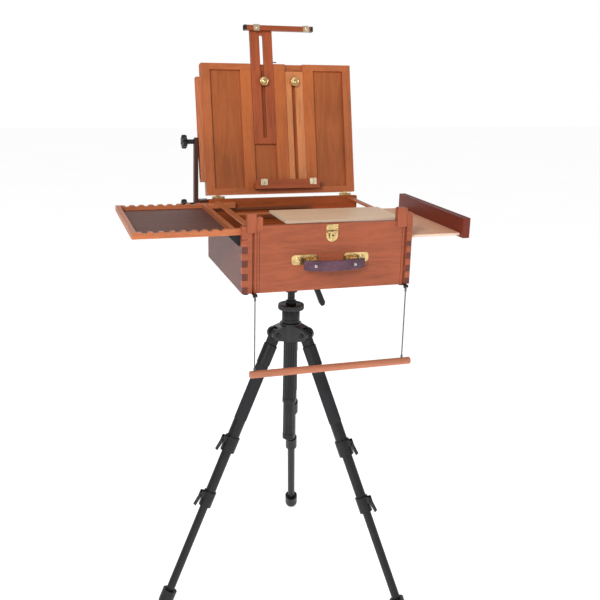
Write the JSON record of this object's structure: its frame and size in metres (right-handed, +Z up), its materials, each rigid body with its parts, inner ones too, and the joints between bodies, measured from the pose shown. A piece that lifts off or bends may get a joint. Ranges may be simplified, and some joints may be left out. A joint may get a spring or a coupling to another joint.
{
  "type": "box easel",
  "caption": "Wooden sketch box easel with a tilting canvas lid, slide-out trays and a hanging towel bar, on a three-legged telescopic tripod.",
  "frame": {"origin": "on the floor, under the middle of the whole easel's outline", "axes": "+Z up, painter on the -Y side, +X to the painter's right"},
  "size_m": [0.779, 0.6188, 1.4245],
  "materials": {
    "walnut": "satin",
    "dark_wood": "satin",
    "pale_wood": "satin",
    "towel_wood": "satin",
    "brass": "polished",
    "dark_steel": "satin black",
    "grey_steel": "brushed",
    "black_tube": "black anodised",
    "black_plastic": "matte",
    "rubber": "matte",
    "leather": "smooth"
  },
  "bodies": {
    "hub": {"tripod_hub": "black_plastic", "leg_bolts": "dark_steel"},
    "column": {"centre_column": "black_tube"},
    "lock_disc": {"lock_disc": "black_plastic"},
    "box": {"box_front_board": "walnut", "box_rear_board": "walnut", "box_left_board": "dark_wood", "box_right_board": "dark_wood", "box_bottom_panel": "dark_wood", "corner_blocks": "walnut", "inner_rails": "pale_wood", "box_brackets": "dark_steel", "rubber_feet": "rubber", "mount_plate": "dark_steel", "latch_plate": "brass", "handle_fittings": "brass", "hinge_box_leaves": "brass", "strut_block": "dark_wood"},
    "pan_lever": {"pan_lever": "dark_steel"},
    "latch": {"latch_lever": "brass"},
    "handle": {"leather_handle": "leather"},
    "left_tray": {"left_tray_frame": "walnut", "left_tray_floor": "dark_wood"},
    "right_tray": {"right_tray_board": "pale_wood", "right_tray_fence": "dark_wood"},
    "palette": {"palette": "pale_wood"},
    "lid": {"lid_frame": "walnut", "lid_panel": "walnut", "lid_side_track": "walnut", "lid_catch": "grey_steel", "hinge_lid_leaves": "brass"},
    "strut": {"strut_arm": "dark_wood"},
    "upper_knob": {"star_knob_upper": "black_plastic"},
    "lower_knob": {"star_knob_lower": "black_plastic"},
    "mast": {"mast": "walnut", "upper_holder": "walnut", "upper_clips": "brass"},
    "ledge": {"ledge_slide": "walnut", "canvas_ledge": "walnut", "ledge_clips": "brass"},
    "mast_knob": {"mast_knob": "brass"},
    "ledge_knob": {"ledge_knob": "brass"},
    "towel": {"towel_bar": "towel_wood", "towel_wire_left": "grey_steel", "towel_wire_right": "grey_steel"},
    "leg_left_upper": {"leg_left_upper": "black_tube"},
    "leg_left_middle": {"leg_left_middle": "black_tube"},
    "leg_left_lower": {"leg_left_lower": "black_tube"},
    "left_upper_lever": {"leg_left_upper_lever": "black_plastic"},
    "left_middle_lever": {"leg_left_middle_lever": "black_plastic"},
    "leg_right_upper": {"leg_right_upper": "black_tube"},
    "leg_right_middle": {"leg_right_middle": "black_tube"},
    "leg_right_lower": {"leg_right_lower": "black_tube"},
    "right_upper_lever": {"leg_right_upper_lever": "black_plastic"},
    "right_middle_lever": {"leg_right_middle_lever": "black_plastic"},
    "leg_rear_upper": {"leg_rear_upper": "black_tube"},
    "leg_rear_middle": {"leg_rear_middle": "black_tube"},
    "leg_rear_lower": {"leg_rear_lower": "black_tube"},
    "rear_upper_lever": {"leg_rear_upper_lever": "black_plastic"},
    "rear_middle_lever": {"leg_rear_middle_lever": "black_plastic"}
  },
  "joints": [
    {"name": "column_lift", "type": "slide", "parent": "hub", "child": "column", "axis": [0, 0, 1], "range_m": [0, 0.18]},
    {"name": "disc_turn", "type": "hinge", "parent": "column", "child": "lock_disc", "pos_m": [0.0125, -0.03149, 0.754], "axis": [0, 0, 1], "continuous": true},
    {"name": "box_pan", "type": "hinge", "parent": "column", "child": "box", "pos_m": [0.0125, -0.03149, 0.78], "axis": [0, 0, 1], "continuous": true},
    {"name": "pan_lever_turn", "type": "hinge", "parent": "box", "child": "pan_lever", "pos_m": [0.0325, -0.03149, 0.804], "axis": [1, 0, 0], "range_deg": [-50, 50]},
    {"name": "latch_flip", "type": "hinge", "parent": "box", "child": "latch", "pos_m": [0.0475, -0.21899, 0.978], "axis": [1, 0, 0], "range_deg": [-110, 0]},
    {"name": "handle_swing", "type": "hinge", "parent": "box", "child": "handle", "pos_m": [0.0455, -0.22299, 0.917], "axis": [1, 0, 0], "range_deg": [-85, 0]},
    {"name": "left_tray_slide", "type": "slide", "parent": "box", "child": "left_tray", "axis": [1, 0, 0], "range_m": [0, 0.218]},
    {"name": "right_tray_slide", "type": "slide", "parent": "box", "child": "right_tray", "axis": [-1, 0, 0], "range_m": [0, 0.128]},
    {"name": "palette_lift", "type": "slide", "parent": "box", "child": "palette", "axis": [0, 0, 1], "range_m": [0, 0.06]},
    {"name": "lid_tilt", "type": "hinge", "parent": "box", "child": "lid", "pos_m": [0.0425, 0.15531, 0.998], "axis": [1, 0, 0], "range_deg": [-18, 50]},
    {"name": "strut_swing", "type": "hinge", "parent": "box", "child": "strut", "pos_m": [-0.1885, 0.15401, 0.982], "axis": [1, 0, 0], "range_deg": [-18, 50]},
    {"name": "upper_knob_turn", "type": "hinge", "parent": "strut", "child": "upper_knob", "pos_m": [-0.1985, 0.19724, 1.13516], "axis": [1, 0, 0], "continuous": true},
    {"name": "lower_knob_turn", "type": "hinge", "parent": "box", "child": "lower_knob", "pos_m": [-0.2105, 0.15401, 0.982], "axis": [1, 0, 0], "continuous": true},
    {"name": "mast_slide", "type": "slide", "parent": "lid", "child": "mast", "axis": [0, 0.2181, 0.9759], "range_m": [-0.095, 0.125]},
    {"name": "ledge_lift", "type": "slide", "parent": "lid", "child": "ledge", "axis": [0, 0.2181, 0.9759], "range_m": [0, 0.2]},
    {"name": "mast_knob_turn", "type": "hinge", "parent": "lid", "child": "mast_knob", "pos_m": [0.002, 0.21901, 1.28297], "axis": [0, -0.9759, 0.2181], "continuous": true},
    {"name": "ledge_knob_turn", "type": "hinge", "parent": "lid", "child": "ledge_knob", "pos_m": [0.0835, 0.21901, 1.28297], "axis": [0, -0.9759, 0.2181], "continuous": true},
    {"name": "towel_bar_swing", "type": "hinge", "parent": "box", "child": "towel", "pos_m": [0.05, -0.22299, 0.842], "axis": [1, 0, 0], "range_deg": [-30, 30]},
    {"name": "left_leg_fold", "type": "hinge", "parent": "hub", "child": "leg_left_upper", "pos_m": [-0.02918, -0.03929, 0.6885], "axis": [0.184, -0.9829, 0], "range_deg": [0, 22]},
    {"name": "left_middle_slide", "type": "slide", "parent": "leg_left_upper", "child": "leg_left_middle", "axis": [0.4014, 0.0751, 0.9128], "range_m": [-0.06, 0.105]},
    {"name": "left_lower_slide", "type": "slide", "parent": "leg_left_middle", "child": "leg_left_lower", "axis": [0.4014, 0.0751, 0.9128], "range_m": [-0.06, 0.175]},
    {"name": "left_upper_lever_flip", "type": "hinge", "parent": "leg_left_upper", "child": "left_upper_lever", "pos_m": [-0.1667, -0.06502, 0.43449], "axis": [0.184, -0.9829, 0], "range_deg": [-100, 0]},
    {"name": "left_middle_lever_flip", "type": "hinge", "parent": "leg_left_middle", "child": "left_middle_lever", "pos_m": [-0.22516, -0.07596, 0.29567], "axis": [0.184, -0.9829, 0], "range_deg": [-100, 0]},
    {"name": "right_leg_fold", "type": "hinge", "parent": "hub", "child": "leg_right_upper", "pos_m": [0.04009, -0.06368, 0.6885], "axis": [0.7593, 0.6508, 0], "range_deg": [0, 22]},
    {"name": "right_middle_slide", "type": "slide", "parent": "leg_right_upper", "child": "leg_right_middle", "axis": [-0.2657, 0.31, 0.9128], "range_m": [-0.06, 0.105]},
    {"name": "right_lower_slide", "type": "slide", "parent": "leg_right_middle", "child": "leg_right_lower", "axis": [-0.2657, 0.31, 0.9128], "range_m": [-0.06, 0.175]},
    {"name": "right_upper_lever_flip", "type": "hinge", "parent": "leg_right_upper", "child": "right_upper_lever", "pos_m": [0.13115, -0.16991, 0.43449], "axis": [0.7593, 0.6508, 0], "range_deg": [-100, 0]},
    {"name": "right_middle_lever_flip", "type": "hinge", "parent": "leg_right_middle", "child": "right_middle_lever", "pos_m": [0.16985, -0.21507, 0.29567], "axis": [0.7593, 0.6508, 0], "range_deg": [-100, 0]},
    {"name": "rear_leg_fold", "type": "hinge", "parent": "hub", "child": "leg_rear_upper", "pos_m": [0.02658, 0.00851, 0.6885], "axis": [-0.9432, 0.3322, 0], "range_deg": [0, 22]},
    {"name": "rear_middle_slide", "type": "slide", "parent": "leg_rear_upper", "child": "leg_rear_middle", "axis": [-0.1356, -0.3851, 0.9128], "range_m": [-0.06, 0.105]},
    {"name": "rear_lower_slide", "type": "slide", "parent": "leg_rear_middle", "child": "leg_rear_lower", "axis": [-0.1356, -0.3851, 0.9128], "range_m": [-0.06, 0.175]},
    {"name": "rear_upper_lever_flip", "type": "hinge", "parent": "leg_rear_upper", "child": "rear_upper_lever", "pos_m": [0.07306, 0.14048, 0.43449], "axis": [-0.9432, 0.3322, 0], "range_deg": [-100, 0]},
    {"name": "rear_middle_lever_flip", "type": "hinge", "parent": "leg_rear_middle", "child": "rear_middle_lever", "pos_m": [0.09281, 0.19657, 0.29567], "axis": [-0.9432, 0.3322, 0], "range_deg": [-100, 0]}
  ],
  "couplings": [
    {"joint": "strut_swing", "follows": "lid_tilt", "ratio": 0.905}
  ]
}
